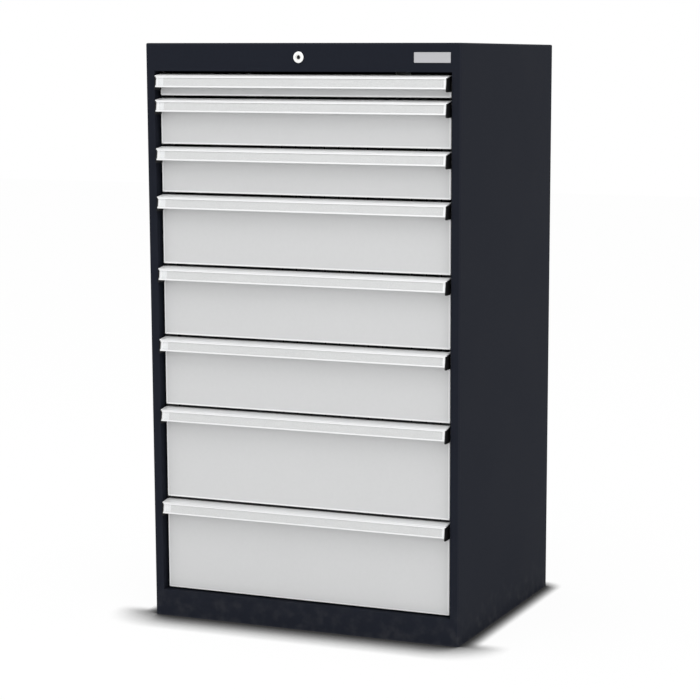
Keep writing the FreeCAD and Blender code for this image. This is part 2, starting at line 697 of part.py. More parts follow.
def lock_brackets():
    """Bar guides on the back panel and shaft hangers under the top."""
    guides = [
        bar_guide(level + height - GUIDE_DROP)
        for level, height in zip(drawer_levels(), DRAWER_HEIGHTS) if height >= GUIDE_DRAWER]
    return guides + [shaft_hanger(y) for y in HANGER_PLACES]


# ---------------------------------------------------------------- all pieces


def build():
    """Writes every node of the cabinet."""
    os.makedirs("parts", exist_ok=True)
    skin = body_skin()
    side = side_panel(skin)
    save("side_panel_right", [side])
    save("side_panel_left", [mirrored(side)])
    save("top_panel", [top_panel(skin)])
    save("back_panel", [back_panel()])
    save("base_panel", [base_panel()])
    uprights = [slotted_upright(place) for place in upright_places()]
    save("slotted_uprights", [piece for upright in uprights for piece in both_sides(upright)])
    levels = drawer_levels()
    rails = [both_sides(outer_rail(runner_level(level))) for level in levels]
    save("outer_rails", [piece for pair in rails for piece in pair])
    save("lock_housing", lock_housing())
    save("lock_plug", [lock_plug()])
    save("lock_shaft", [lock_shaft()])
    save("lock_bar", lock_bar())
    save("lock_brackets", lock_brackets())
    for number, (level, height) in enumerate(zip(levels, DRAWER_HEIGHTS), start=1):
        top = front_top(level, height)
        runner = runner_level(level)
        save("drawer_%d_front" % number, [drawer_front(level, height)])
        save("drawer_%d_tray" % number, tray(level, height))
        save("drawer_%d_handle" % number, [handle(top)])
        save("drawer_%d_handle_caps" % number, both_sides(handle_cap(top)))
        save("drawer_%d_inner_rails" % number, both_sides(inner_rail(runner)))
        rolling = [piece for solid in mid_rail(runner) for piece in both_sides(solid)]
        save("drawer_%d_mid_rails" % number, rolling)


build()
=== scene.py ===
"""Looks of a tall sheet-steel drawer cabinet with eight drawers and a central lock.

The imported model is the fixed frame, in metres. +Z is up and the drawers open towards -Y.
Each sub-assembly is a class that dresses its own nodes and adds the small pieces on them:
fasteners, labels with their clear covers, the bare name plate and the lock's shutter.
"""

from __future__ import annotations

import logging
import math
import sys
from dataclasses import dataclass, field
from enum import Enum
from typing import Callable, ClassVar, Iterable, Sequence, Union

import bmesh
import bpy
from mathutils import Matrix, Vector

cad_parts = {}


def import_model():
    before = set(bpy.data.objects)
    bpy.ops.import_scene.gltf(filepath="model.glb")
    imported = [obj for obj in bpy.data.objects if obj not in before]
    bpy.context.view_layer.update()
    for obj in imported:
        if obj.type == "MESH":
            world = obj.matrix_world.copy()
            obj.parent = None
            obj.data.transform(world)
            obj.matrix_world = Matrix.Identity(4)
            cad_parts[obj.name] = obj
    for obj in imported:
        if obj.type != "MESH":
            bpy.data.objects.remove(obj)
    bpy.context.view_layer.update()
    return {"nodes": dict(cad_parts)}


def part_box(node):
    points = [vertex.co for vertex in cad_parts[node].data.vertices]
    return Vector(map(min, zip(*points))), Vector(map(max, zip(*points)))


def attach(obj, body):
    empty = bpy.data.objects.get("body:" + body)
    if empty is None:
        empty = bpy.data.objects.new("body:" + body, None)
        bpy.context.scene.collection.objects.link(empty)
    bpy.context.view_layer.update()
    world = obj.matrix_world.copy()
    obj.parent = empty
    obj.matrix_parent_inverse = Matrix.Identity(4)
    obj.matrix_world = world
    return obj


LOG = logging.getLogger("cabinet")
PICTURE_WIDTH = 700

Triple = tuple[float, float, float]
Colour = Triple
Value = Union["Wire", float, int, bool, str, Sequence[float], bpy.types.ID]
Key = Union[int, str]

BACKWARDS: Triple = (0.0, 1.0, 0.0)
HALF_GAP = 0.00175
SHARP_ANGLE = 35.0


# ---------------------------------------------------------------- node expressions


def math_node(operation: str, swapped: bool = False) -> Callable[[Wire, Value], Wire]:
    """Makes an operator of Wire from one kind of Math node.

    Args:
        operation: what the node does with its two values.
        swapped: whether the wire is the second value.

    Returns:
        The operator.
    """
    def apply(wire: Wire, other: Value) -> Wire:
        """The node's result."""
        values = (other, wire) if swapped else (wire, other)
        return wire.graph.maths(operation, *values)
    return apply


class Wire:
    """One output socket, with the operators that node expressions need."""

    __add__, __radd__ = math_node("ADD"), math_node("ADD", True)
    __sub__, __rsub__ = math_node("SUBTRACT"), math_node("SUBTRACT", True)
    __mul__, __rmul__ = math_node("MULTIPLY"), math_node("MULTIPLY", True)
    __truediv__ = math_node("DIVIDE")
    __pow__ = math_node("POWER")
    least = math_node("MINIMUM")
    most = math_node("MAXIMUM")
    above = math_node("GREATER_THAN")

    def __init__(self, graph: Graph, socket: bpy.types.NodeSocket | None) -> None:
        """Keeps the graph and the socket the wire leaves from, None on an end node."""
        self.graph = graph
        self.socket = socket

    def __abs__(self) -> Wire:
        """Size without its sign."""
        return self.graph.maths("ABSOLUTE", self)

    def rise(self, start: float, end: float) -> Wire:
        """A smooth step from 0 at the first value to 1 at the second."""
        sockets = {"Value": self, "From Min": start, "From Max": end}
        settings = {"interpolation_type": "SMOOTHSTEP"}
        return self.graph.node("ShaderNodeMapRange", settings, sockets)

    def fall(self, start: float, end: float) -> Wire:
        """A smooth step from 1 to 0 between two values."""
        return 1 - self.rise(start, end)

    def output(self, key: Key) -> Wire:
        """Another output of the same node."""
        return Wire(self.graph, find_socket(self.socket.node.outputs, key))

    def axes(self) -> tuple[Wire, Wire, Wire]:
        """The three parts of a vector."""
        x = self.graph.node("ShaderNodeSeparateXYZ", {}, {"Vector": self}, "X")
        return x, x.output("Y"), x.output("Z")


def find_socket(sockets: Iterable[bpy.types.NodeSocket], key: Key) -> bpy.types.NodeSocket:
    """Finds a socket in use by its place or its name.

    Args:
        sockets: a node's inputs or outputs.
        key: the socket's place among them, or its name.

    Returns:
        The socket.
    """
    if isinstance(key, int):
        return list(sockets)[key]
    return next(socket for socket in sockets if socket.name == key and socket.enabled)


class Graph:
    """A node tree that is written as Python expressions."""

    def __init__(self, tree: bpy.types.NodeTree) -> None:
        """Takes a tree and clears it."""
        self.tree = tree
        tree.nodes.clear()

    def node(self, kind: str, settings: dict[str, object] | None = None,
             sockets: dict[Key, Value] | None = None, output: Key = 0) -> Wire:
        """Adds a node.

        Args:
            kind: the node's type.
            settings: its properties, set before its sockets.
            sockets: a value or a wire for each input that is used.
            output: the output to return, by place or name.

        Returns:
            The wire from that output.
        """
        node = self.tree.nodes.new(kind)
        for name, value in (settings or {}).items():
            setattr(node, name, value)
        for key, value in (sockets or {}).items():
            self.feed(find_socket(node.inputs, key), value)
        if not len(node.outputs):
            return Wire(self, None)
        return Wire(self, find_socket(node.outputs, output))

    def feed(self, socket: bpy.types.NodeSocket, value: Value) -> None:
        """Links a wire to an input, or writes a value on it."""
        if isinstance(value, Wire):
            self.tree.links.new(value.socket, socket)
        elif socket.type == "RGBA" and len(value) == 3:
            socket.default_value = (*value, 1.0)
        else:
            socket.default_value = value

    def maths(self, operation: str, *values: Value) -> Wire:
        """A Math node on up to three values."""
        return self.node("ShaderNodeMath", {"operation": operation}, dict(enumerate(values)))

    def blend(self, first: Value, second: Value, factor: Value, mode: str = "MIX") -> Wire:
        """Mixes two colours.

        Args:
            first: colour where the factor is 0.
            second: colour where it is 1.
            factor: share of the second colour.
            mode: how the second colour acts on the first.

        Returns:
            The mixed colour.
        """
        settings = {"data_type": "RGBA", "blend_type": mode}
        sockets = {"Factor": factor, "A": first, "B": second}
        return self.node("ShaderNodeMix", settings, sockets, "Result")

    def shaded(self, colour: Value, shade: Value) -> Wire:
        """A colour made lighter or darker by a number."""
        return self.blend(colour, shade, 1.0, "MULTIPLY")

    def place(self) -> Wire:
        """The point on the surface, in the object's own coordinates."""
        return self.node("ShaderNodeTexCoord", {}, {}, "Object")

    def noise(self, scale: float | Sequence[float], detail: float = 2.0) -> Wire:
        """Soft noise between 0 and 1.

        Args:
            scale: waves per metre, the same or one for each axis.
            detail: octaves of finer noise.

        Returns:
            The noise as a number.
        """
        stretch = (scale,) * 3 if isinstance(scale, (int, float)) else tuple(scale)
        vector = self.node("ShaderNodeMapping", {}, {"Vector": self.place(), "Scale": stretch})
        sockets = {"Vector": vector, "Scale": 1.0, "Detail": detail}
        return self.node("ShaderNodeTexNoise", {}, sockets, "Fac")

    def cells(self, scale: float) -> Wire:
        """Distance to the nearest of scattered points, in cells per metre."""
        sockets = {"Vector": self.place(), "Scale": scale}
        return self.node("ShaderNodeTexVoronoi", {}, sockets, "Distance")

    def bump(self, height: Wire, strength: float, depth: float) -> Wire:
        """The normal of a surface with that height.

        Args:
            height: the height between 0 and 1.
            strength: share of the effect.
            depth: real depth, in metres, of a height of 1.

        Returns:
            The normal.
        """
        sockets = {"Strength": strength, "Distance": depth, "Height": height}
        return self.node("ShaderNodeBump", {}, sockets, "Normal")


def varied(base: Value, *parts: tuple[Wire, float]) -> Value:
    """A number that noise moves up and down.

    Args:
        base: the number in the middle.
        parts: noise between 0 and 1, each with the range that it adds.

    Returns:
        The varied number.
    """
    for noise, spread in parts:
        base = base + (noise - 0.5) * spread
    return base


# ---------------------------------------------------------------- finishes


@dataclass(frozen=True)
class EdgeBox:
    """A box whose edges a finish follows: its centre, half sizes and how wide an edge shows."""

    centre: Triple
    half: Triple
    width: float

    PLATEAU = 0.5

    @staticmethod
    def around(low: Vector, high: Vector, width: float) -> EdgeBox:
        """The box between two corners."""
        centre = (low + high) / 2
        half = (high - low) / 2
        return EdgeBox(tuple(centre), tuple(half), width)

    def mask(self, graph: Graph) -> Wire:
        """1 along the box's edges, falling to 0 at the stated width from them."""
        depths = [half - abs(axis - centre)
                  for axis, centre, half in zip(graph.place().axes(), self.centre, self.half)]
        across, along, up = depths
        nearest = (across + along).least(along + up).least(across + up)
        return nearest.fall(self.width * self.PLATEAU, self.width)


@dataclass(frozen=True)
class Finish:
    """What every finish has: a name, a colour and how rough it is."""

    name: str
    colour: Colour
    roughness: float

    MADE: ClassVar[dict[Finish, bpy.types.Material]] = {}

    def material(self) -> bpy.types.Material:
        """Builds the finish once and returns it after that.

        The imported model's plain materials keep their own names, so a finish is never
        looked up by name.
        """
        if self not in Finish.MADE:
            made = bpy.data.materials.new(self.name)
            made.use_nodes = True
            graph = Graph(made.node_tree)
            shader = graph.node("ShaderNodeBsdfPrincipled", {}, self.surface(graph))
            graph.node("ShaderNodeOutputMaterial", {}, {"Surface": shader})
            made.diffuse_color = (*self.colour, 1.0)
            Finish.MADE[self] = made
        return Finish.MADE[self]

    def surface(self, graph: Graph) -> dict[Key, Value]:
        """The shader's inputs.

        Args:
            graph: the material's nodes.

        Returns:
            A value or wire for each input that the finish uses.
        """
        raise NotImplementedError


@dataclass(frozen=True)
class PowderCoat(Finish):
    """Baked powder paint: fine orange peel, soft mottling and folds painted lighter as a
    highlight.
    """

    sheen: float = 0.3
    mottling: float = 0.05
    folds: EdgeBox | None = None
    # Painted highlight: the folds take a lighter colour, as edges that catch the light.
    fold_highlight_colour: Colour = (0.8, 0.8, 0.8)
    fold_highlight_strength: float = 0.0
    # Partly dust, partly painted reflection of the floor: lighter towards the bottom.
    dust_and_reflection_height: float = 0.0
    # Painted shade: darkens the colour in crevices, by ambient occlusion within this distance.
    crevice_shade_distance: float = 0.0

    PEEL_SCALE = 700.0
    PEEL_DEPTH = 0.00012
    CLOUD_SCALE = 5.0
    FLECK_SCALE = 160.0
    # Partly dust, partly painted reflection of the floor.
    DUST_AND_REFLECTION_COLOUR = (0.16, 0.155, 0.15)
    DUST_AND_REFLECTION_STRENGTH = 0.10
    DUST_AND_REFLECTION_SCALE = 40.0
    DUST_AND_REFLECTION_RANGE = (0.4, 0.8)
    # Painted shade in crevices, by ambient occlusion.
    CREVICE_SHADE_RANGE = (0.15, 0.60)
    CREVICE_SHADE_SAMPLES = 8
    # Painted highlight: how strongly it shows, in cloudy patches.
    HIGHLIGHT_LEAST = 0.7
    HIGHLIGHT_CLOUDS = 0.6

    def surface(self, graph: Graph) -> dict[Key, Value]:
        """The coat's inputs."""
        peel = graph.noise(self.PEEL_SCALE)
        clouds = graph.noise(self.CLOUD_SCALE, 3.0)
        flecks = graph.noise(self.FLECK_SCALE, 1.0)
        shade = varied(1, (clouds, self.mottling), (flecks, self.mottling))
        colour = graph.shaded(self.colour, shade)
        # Painted highlight: the colour turns lighter along the folds, in cloudy patches.
        if self.folds is not None:
            highlight_patches = self.HIGHLIGHT_LEAST + self.HIGHLIGHT_CLOUDS * clouds
            painted_highlight = self.folds.mask(graph) * self.fold_highlight_strength * highlight_patches
            colour = graph.blend(colour, self.fold_highlight_colour, painted_highlight.least(1.0))
        # Partly dust, partly painted reflection of the floor: the colour turns lighter in specks
        # towards the bottom.
        if self.dust_and_reflection_height > 0:
            height = graph.place().axes()[2]
            specks = graph.noise(self.DUST_AND_REFLECTION_SCALE, 4.0).rise(*self.DUST_AND_REFLECTION_RANGE)
            dust_and_reflection = height.fall(0.0, self.dust_and_reflection_height) * specks
            colour = graph.blend(colour, self.DUST_AND_REFLECTION_COLOUR, dust_and_reflection * self.DUST_AND_REFLECTION_STRENGTH)
        # Painted shade: the colour darkens where ambient occlusion finds surfaces close by, as in
        # the gaps around the fronts.
        if self.crevice_shade_distance > 0:
            open_to_light = graph.node("ShaderNodeAmbientOcclusion",
                                       {"samples": self.CREVICE_SHADE_SAMPLES},
                                       {"Distance": self.crevice_shade_distance}, "AO")
            colour = graph.shaded(colour, open_to_light.rise(*self.CREVICE_SHADE_RANGE))
        rough = varied(self.roughness, (clouds, 0.10), (flecks, 0.08))
        return {
            "Base Color": colour,
            "Roughness": rough,
            "Specular IOR Level": self.sheen,
            "Normal": graph.bump(peel, 0.25, self.PEEL_DEPTH)}


@dataclass(frozen=True)
class DrawnAluminium(Finish):
    """Matt anodised extrusion with the die's fine lines along X."""

    metallic: float = 0.4

    LINES = (3.0, 1500.0, 1500.0)
    LINE_DEPTH = 0.00004

    def surface(self, graph: Graph) -> dict[Key, Value]:
        """The extrusion's inputs."""
        lines = graph.noise(self.LINES, 2.0)
        clouds = graph.noise((2.0, 60.0, 60.0), 2.0)
        shade = varied(1, (lines, 0.10), (clouds, 0.05))
        return {
            "Base Color": graph.shaded(self.colour, shade),
            "Metallic": self.metallic,
            "Roughness": varied(self.roughness, (lines, 0.16), (clouds, 0.06)),
            "Normal": graph.bump(lines, 0.3, self.LINE_DEPTH)}


@dataclass(frozen=True)
class ZincPlate(Finish):
    """Bright zinc plating with rolling lines along Y and a faint warm and blue cast."""

    cool: Colour = (0.50, 0.54, 0.60)

    ROLLING = (900.0, 5.0, 900.0)
    CELL_SCALE = 220.0

    def surface(self, graph: Graph) -> dict[Key, Value]:
        """The plating's inputs."""
        rolling = graph.noise(self.ROLLING, 2.0)
        cast = graph.noise(14.0, 3.0).rise(0.35, 0.65)
        cells = graph.cells(self.CELL_SCALE)
        tone = graph.blend(self.colour, self.cool, cast * 0.6)
        shade = varied(1, (rolling, 0.12), (cells, 0.08))
        return {
            "Base Color": graph.shaded(tone, shade),
            "Metallic": 1.0,
            "Roughness": varied(self.roughness, (rolling, 0.14)) + (cells - 0.4) * 0.10,
            "Normal": graph.bump(rolling, 0.2, 0.00003)}


@dataclass(frozen=True)
class MouldedPlastic(Finish):
    """Matt moulded plastic with a fine spark-eroded grain."""

    GRAIN_SCALE = 1600.0

    def surface(self, graph: Graph) -> dict[Key, Value]:
        """The plastic's inputs."""
        grain = graph.cells(self.GRAIN_SCALE)
        clouds = graph.noise(60.0, 2.0)
        shade = 0.9 + 0.2 * clouds
        return {
            "Base Color": graph.shaded(self.colour, shade),
            "Roughness": varied(self.roughness, (grain, 0.12)),
            "Specular IOR Level": 0.2,
            "Normal": graph.bump(grain, 0.35, 0.00005)}


@dataclass(frozen=True)
class TurnedNickel(Finish):
    """Nickel plate on a turned piece: rings about an axis along Y, and a dark middle."""

    axis_height: float = 0.0
    ring_pitch: float = 0.0004
    dark_radius: float = 0.0
    dark_colour: Colour = (0.02, 0.02, 0.022)

    def surface(self, graph: Graph) -> dict[Key, Value]:
        """The plated piece's inputs."""
        x, _, z = graph.place().axes()
        radius = (x ** 2 + (z - self.axis_height) ** 2) ** 0.5
        rings = graph.maths("SINE", radius * (math.tau / self.ring_pitch))
        smudge = graph.noise(350.0, 3.0)
        shade = varied(1 + rings * 0.03, (smudge, 0.06))
        colour = graph.shaded(self.colour, shade)
        metal = 1.0
        if self.dark_radius > 0:
            middle = radius.fall(self.dark_radius * 0.94, self.dark_radius * 1.06)
            colour = graph.blend(colour, self.dark_colour, middle)
            metal = 1 - middle
        return {
            "Base Color": colour,
            "Metallic": metal,
            "Roughness": varied(self.roughness + rings * 0.04, (smudge, 0.10)),
            "Normal": graph.bump(rings, 0.15, 0.00002)}


@dataclass(frozen=True)
class CardStock(Finish):
    """Uncoated label card with a faint fibre."""

    def surface(self, graph: Graph) -> dict[Key, Value]:
        """The card's inputs."""
        fibre = graph.noise((500.0, 1400.0, 1400.0), 4.0)
        cast = graph.noise(9.0, 2.0)
        shade = varied(1, (fibre, 0.10), (cast, 0.05))
        return {
            "Base Color": graph.shaded(self.colour, shade),
            "Roughness": varied(self.roughness, (fibre, 0.1)),
            "Normal": graph.bump(fibre, 0.3, 0.00004)}


@dataclass(frozen=True)
class ClearPlastic(Finish):
    """Clear extruded cover strip with faint lines along X."""

    opacity: float = 0.15

    def surface(self, graph: Graph) -> dict[Key, Value]:
        """The strip's inputs."""
        lines = graph.noise((4.0, 900.0, 900.0), 2.0)
        haze = graph.noise(30.0, 3.0)
        shade = varied(1, (haze, 0.06))
        return {
            "Base Color": graph.shaded(self.colour, shade),
            "Roughness": varied(self.roughness, (haze, 0.12)),
            "Alpha": varied(self.opacity, (lines, 0.06)),
            "Normal": graph.bump(lines, 0.2, 0.00002)}


@dataclass(frozen=True)
class LacqueredPlate(Finish):
    """Pale lacquer on an aluminium plate whose rim is left bright."""

    rim: EdgeBox | None = None
    rim_colour: Colour = (0.78, 0.78, 0.79)

    def surface(self, graph: Graph) -> dict[Key, Value]:
        """The plate's inputs."""
        bright = self.rim.mask(graph).rise(0.2, 0.5) if self.rim else 0.0
        grain = graph.noise((60.0, 1800.0, 1800.0), 2.0)
        shade = varied(1, (grain, 0.06))
        lacquer = graph.shaded(self.colour, shade)
        return {
            "Base Color": graph.blend(lacquer, self.rim_colour, bright),
            "Metallic": bright,
            "Roughness": varied(self.roughness, (grain, 0.12)),
            "Normal": graph.bump(grain, 0.12, 0.00002)}


# ---------------------------------------------------------------- meshes


def new_piece(name: str, mesh: bpy.types.Mesh, material: bpy.types.Material) -> bpy.types.Object:
    """Puts a mesh in the scene at the origin.

    Args:
        name: the piece's name.
        mesh: its mesh, in the row frame.
        material: its finish.

    Returns:
        The new object.
    """
    piece = bpy.data.objects.new(name, mesh)
    mesh.materials.clear()
    mesh.materials.append(material)
    bpy.context.scene.collection.objects.link(piece)
    return piece


def loft(name: str, rings: Sequence[Sequence[Vector]],
         smooth_angle: float = 30.0) -> bpy.types.Mesh:
    """Closes a skin over rings of points, with a flat cap at each end.

    Args:
        name: the mesh's name.
        rings: closed rings with the same number of points.
        smooth_angle: degrees above which an edge stays sharp.

    Returns:
        A closed mesh with its faces outwards.
    """
    shape = bmesh.new()
    rows = [[shape.verts.new(point) for point in ring] for ring in rings]
    count = len(rows[0])
    for row, following in zip(rows, rows[1:]):
        for n in range(count):
            m = (n + 1) % count
            shape.faces.new((row[n], row[m], following[m], following[n]))
    shape.faces.new(rows[0])
    shape.faces.new(rows[-1])
    bmesh.ops.recalc_face_normals(shape, faces=shape.faces)
    mesh = bpy.data.meshes.new(name)
    shape.to_mesh(mesh)
    shape.free()
    mesh.shade_smooth()
    mesh.set_sharp_from_angle(angle=math.radians(smooth_angle))
    return mesh


def rounded_outline(half_width: float, half_height: float, radius: float,
                    steps: int = 6) -> list[tuple[float, float]]:
    """A rectangle with rounded corners.

    Args:
        half_width: half its width.
        half_height: half its height.
        radius: radius of its corners.
        steps: straight steps in each corner.

    Returns:
        Its points, anticlockwise.
    """
    corners = ((1, 1, 0), (-1, 1, 90), (-1, -1, 180), (1, -1, 270))
    points = []
    for side, level, start in corners:
        x = side * (half_width - radius)
        y = level * (half_height - radius)
        for n in range(steps + 1):
            angle = math.radians(start + 90 * n / steps)
            points.append((x + radius * math.cos(angle), y + radius * math.sin(angle)))
    return points


# ---------------------------------------------------------------- fasteners


class Head(Enum):
    """The kinds of fastener heads: a blind rivet and a cross-recess screw."""

    RIVET = "rivet"
    CROSS = "cross"


@dataclass(frozen=True)
class Spot:
    """One fastener's place and the way that its head faces."""

    place: Triple
    facing: Triple


@dataclass(frozen=True)
class Fasteners:
    """Fastener heads of one kind and size, made by a Geometry Nodes tree."""

    kind: Head
    radius: float
    height: float
    finish: Finish
    seed: int = 7

    FACING = "facing"
    SINK = 0.0002
    SIDES = {Head.RIVET: 14, Head.CROSS: 16}
    RINGS = {Head.RIVET: 4, Head.CROSS: 3}
    CROWN = {Head.RIVET: 0.7, Head.CROSS: 0.55}
    DIMPLE_DEPTH = 0.55
    DIMPLE_SHARE = 0.07
    RECESS_LENGTH = 1.15
    RECESS_WIDTH = 0.28
    RECESS_DEPTH = 1.3

    def tree(self) -> tuple[bpy.types.NodeTree, dict[str, str]]:
        """Builds the tree that puts a head on every point.

        Returns:
            The tree, and the identifier of each of its named inputs.
        """
        tree = bpy.data.node_groups.new(f"{self.kind.value}_heads", "GeometryNodeTree")
        graph = Graph(tree)
        add = tree.interface.new_socket
        add("Geometry", in_out="OUTPUT", socket_type="NodeSocketGeometry")
        kinds = {"Geometry": "NodeSocketGeometry", "Head Radius": "NodeSocketFloat",
                 "Head Height": "NodeSocketFloat", "Seed": "NodeSocketInt",
                 "Finish": "NodeSocketMaterial"}
        names = {name: add(name, in_out="INPUT", socket_type=kind).identifier
                 for name, kind in kinds.items()}
        inputs = graph.node("NodeGroupInput", {}, {}, "Geometry")
        radius, height = inputs.output("Head Radius"), inputs.output("Head Height")
        facing = graph.node("GeometryNodeInputNamedAttribute", {"data_type": "FLOAT_VECTOR"},
                            {"Name": self.FACING}, "Attribute")
        aligned = graph.node("FunctionNodeAlignRotationToVector", {"axis": "Z"},
                             {"Vector": facing})
        turn = graph.node("FunctionNodeRandomValue", {"data_type": "FLOAT"},
                          {"Min": 0.0, "Max": math.tau, "Seed": inputs.output("Seed")}, "Value")
        spin = graph.node("FunctionNodeAxisAngleToRotation", {}, {"Angle": turn})
        rotation = graph.node("FunctionNodeRotateRotation", {"rotation_space": "LOCAL"},
                              {"Rotation": aligned, "Rotate By": spin})
        heads = graph.node("GeometryNodeInstanceOnPoints", {}, {
            "Points": inputs, "Instance": self.head(graph, radius, height),
            "Rotation": rotation})
        real = graph.node("GeometryNodeRealizeInstances", {}, {"Geometry": heads})
        dressed = graph.node("GeometryNodeSetMaterial", {}, {
            "Geometry": real, "Material": inputs.output("Finish")})
        graph.node("NodeGroupOutput", {}, {"Geometry": dressed})
        return tree, names

    def head(self, graph: Graph, radius: Wire, height: Wire) -> Wire:
        """One head about the origin, facing +Z, with its radius and how far it stands proud."""
        blank = graph.node("GeometryNodeMeshCylinder", {}, {
            "Vertices": self.SIDES[self.kind], "Side Segments": 1,
            "Fill Segments": self.RINGS[self.kind], "Radius": radius, "Depth": height})
        x, y, z = graph.node("GeometryNodeInputPosition").axes()
        share = (x ** 2 + y ** 2) / (radius ** 2)
        crown = 1 - share * self.CROWN[self.kind]
        if self.kind is Head.RIVET:
            crown = crown - self.DIMPLE_DEPTH * (1 - share.above(self.DIMPLE_SHARE))
        upper = z.above(0.0)
        level = upper * height * crown - (1 - upper) * self.SINK
        point = graph.node("ShaderNodeCombineXYZ", {}, {"X": x, "Y": y, "Z": level})
        shaped = graph.node("GeometryNodeSetPosition", {}, {
            "Geometry": blank, "Position": point})
        return self.recessed(graph, shaped, radius, height) if self.kind is Head.CROSS else shaped

    def recessed(self, graph: Graph, head: Wire, radius: Wire, height: Wire) -> Wire:
        """Cuts a cross into a head of that radius and height."""
        long_side, short_side = radius * self.RECESS_LENGTH, radius * self.RECESS_WIDTH
        for pair in ((long_side, short_side), (short_side, long_side)):
            size = graph.node("ShaderNodeCombineXYZ", {}, {
                "X": pair[0], "Y": pair[1], "Z": height * self.RECESS_DEPTH})
            arm = graph.node("GeometryNodeMeshCube", {}, {"Size": size})
            lift = graph.node("ShaderNodeCombineXYZ", {}, {"Z": height})
            raised = graph.node("GeometryNodeTransform", {}, {
                "Geometry": arm, "Translation": lift})
            head = graph.node("GeometryNodeMeshBoolean", {"operation": "DIFFERENCE"}, {
                "Mesh 1": head, "Mesh 2": raised})
        return head

    def place(self, name: str, spots: Sequence[Spot], body: str,
              slot: str | None = None) -> bpy.types.Object:
        """Makes one plain mesh with a head at each spot.

        Args:
            name: the piece's name.
            spots: where the heads go.
            body: the body that they ride on.
            slot: the record's material slot, where one fits. It is not used.

        Returns:
            The finished piece.
        """
        seeds = bpy.data.meshes.new(name + "_points")
        seeds.from_pydata([spot.place for spot in spots], [], [])
        facing = seeds.attributes.new(self.FACING, "FLOAT_VECTOR", "POINT")
        facing.data.foreach_set("vector", [part for spot in spots for part in spot.facing])
        holder = bpy.data.objects.new(name + "_points", seeds)
        bpy.context.scene.collection.objects.link(holder)
        tree, names = self.tree()
        modifier = holder.modifiers.new("heads", "NODES")
        modifier.node_group = tree
        modifier[names["Head Radius"]] = self.radius
        modifier[names["Head Height"]] = self.height
        modifier[names["Seed"]] = self.seed
        modifier[names["Finish"]] = self.finish.material()
        graph = bpy.context.evaluated_depsgraph_get()
        mesh = bpy.data.meshes.new_from_object(holder.evaluated_get(graph))
        holder.modifiers.clear()
        bpy.data.objects.remove(holder)
        mesh.name = name
        mesh.shade_smooth()
        mesh.set_sharp_from_angle(angle=math.radians(SHARP_ANGLE))
        piece = new_piece(name, mesh, self.finish.material())
        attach(piece, body)
        return piece


def row(start: float, end: float, count: int) -> list[float]:
    """Evenly spaced places from start to end."""
    return [start + (end - start) * n / (count - 1) for n in range(count)]


# ---------------------------------------------------------------- the cabinet's parts


@dataclass
class Workshop:
    """What every sub-assembly works with: the frame's nodes, the finishes and the tally."""

    nodes: dict[str, bpy.types.Object]
    pieces: list[str] = field(default_factory=list)

    ZINC = ZincPlate("bright_zinc", (0.60, 0.60, 0.59), roughness=0.34)
    PLASTIC = MouldedPlastic("moulded_cap", (0.008, 0.008, 0.009), roughness=0.55)

    def dress(self, node: str, finish: Finish) -> None:
        """Gives a node of the frame its finish."""
        mesh = self.nodes[node].data
        mesh.materials.clear()
        mesh.materials.append(finish.material())
        LOG.info("%s: %s", node, finish.name)

    def report(self, piece: bpy.types.Object) -> None:
        """Logs a piece that was added."""
        self.pieces.append(piece.name)
        LOG.info("%s: %d faces", piece.name, len(piece.data.polygons))


